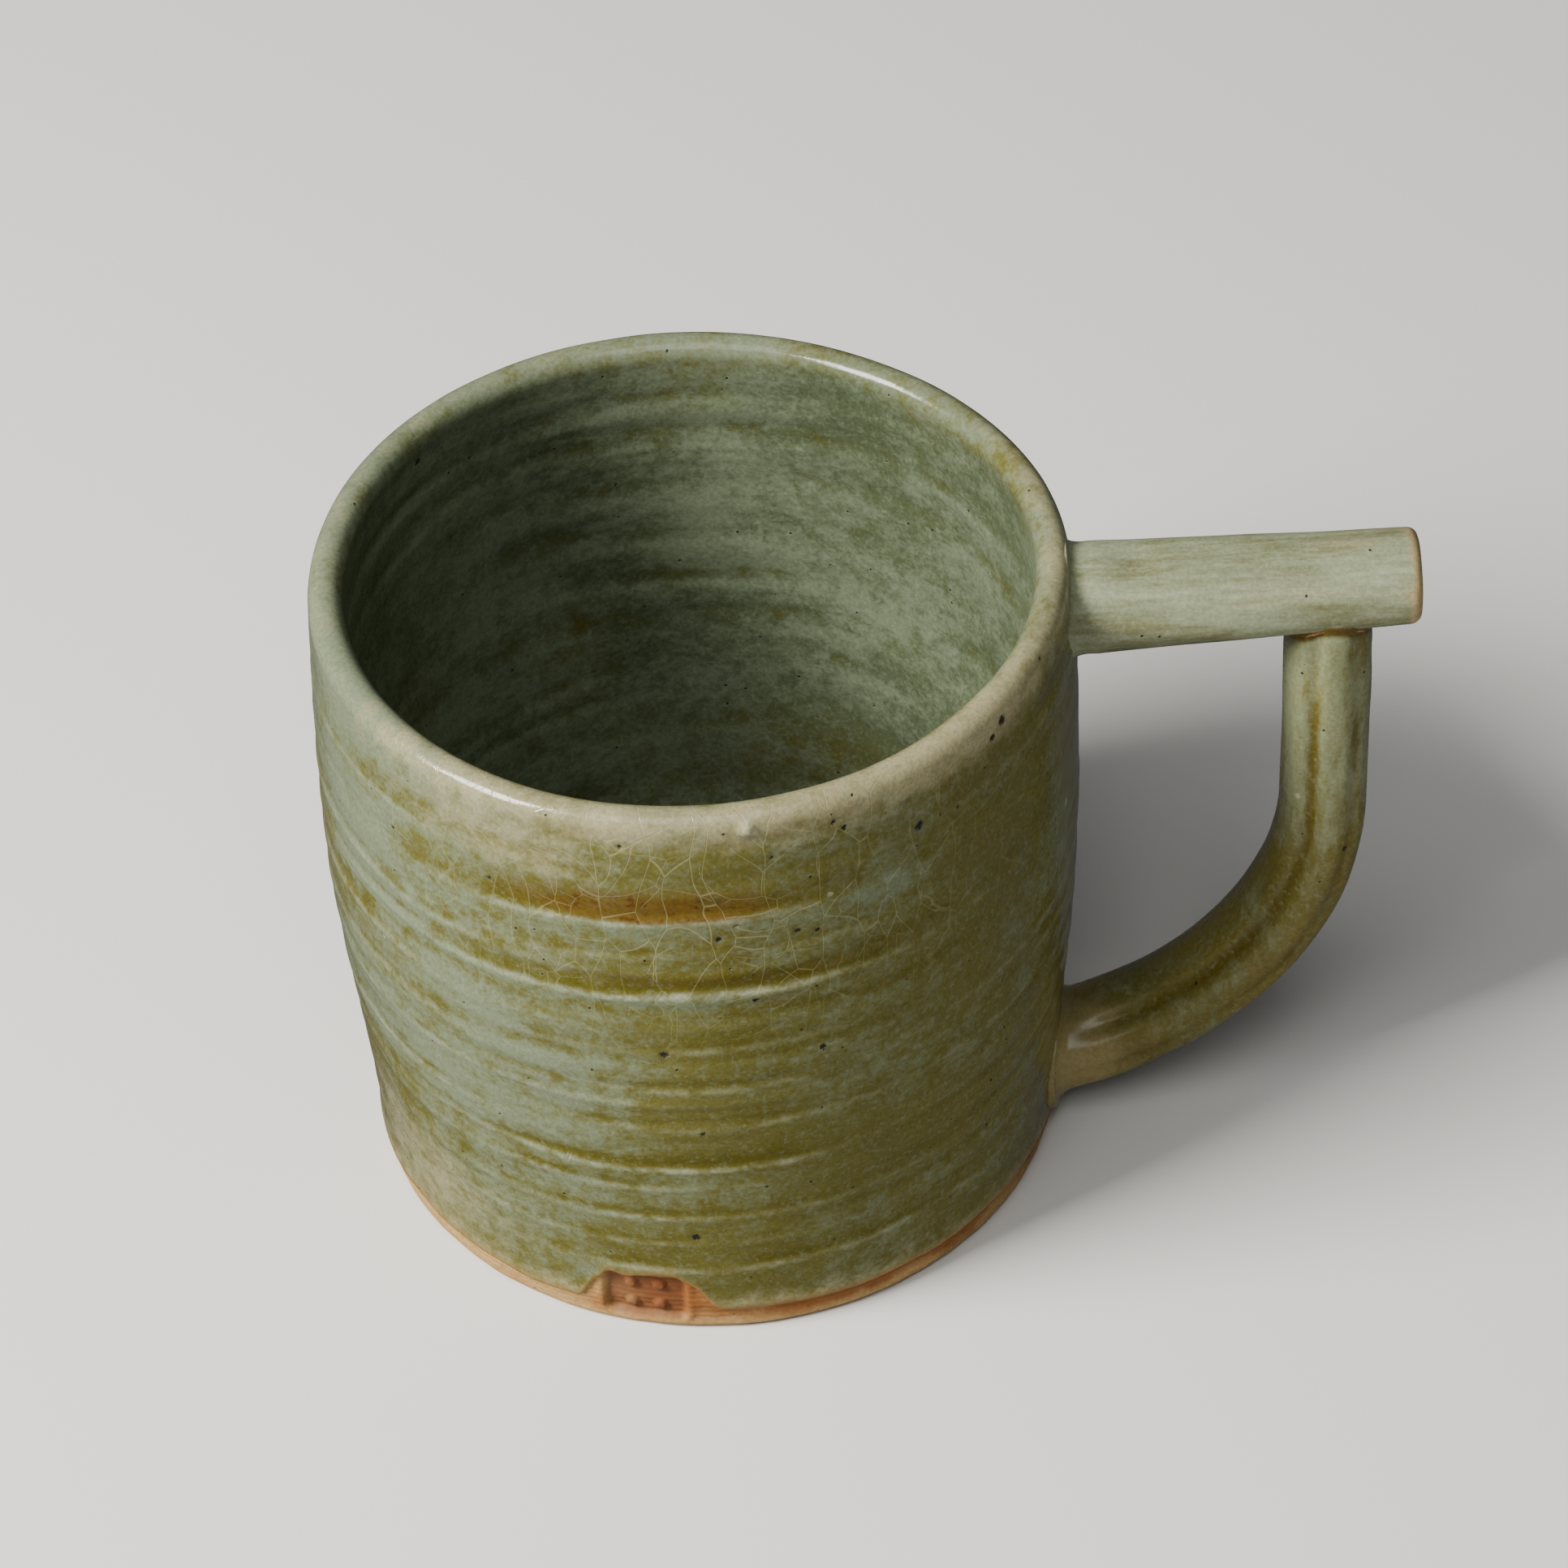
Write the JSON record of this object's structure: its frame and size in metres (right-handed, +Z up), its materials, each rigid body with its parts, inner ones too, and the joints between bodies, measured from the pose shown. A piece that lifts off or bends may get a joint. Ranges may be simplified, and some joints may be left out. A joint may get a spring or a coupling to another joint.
{
  "type": "stoneware mug",
  "caption": "Hand-thrown stoneware mug with a crackled grey-green glaze, a bare clay foot and an angular handle made of a straight bar and a curved arm.",
  "frame": {"origin": "centre of the flat foot, on the surface that the mug stands on", "axes": "+Z up along the axis the body was thrown on; +X towards the handle, along its top bar; the stamp faces -Y"},
  "size_m": [0.1299, 0.0902, 0.0855],
  "materials": {
    "bare_clay": "matte fired stoneware, flashed orange at the foot",
    "slip": "matte fired slip",
    "outer_glaze": "semi-gloss ash celadon, crackled and mottled",
    "liner_glaze": "semi-gloss ash celadon, streaked",
    "bar_glaze": "semi-gloss ash celadon with iron specks",
    "arm_glaze": "semi-gloss olive ash glaze"
  },
  "bodies": {
    "root": {"thrown_body": "bare_clay", "outer_glaze": "outer_glaze", "liner_glaze": "liner_glaze", "handle_top_bar": "bare_clay", "bar_glaze": "bar_glaze", "handle_lower_arm": "bare_clay", "arm_glaze": "arm_glaze", "slip_bar_to_wall": "slip", "slip_arm_to_wall": "slip", "slip_arm_to_bar": "slip"}
  },
  "joints": []
}
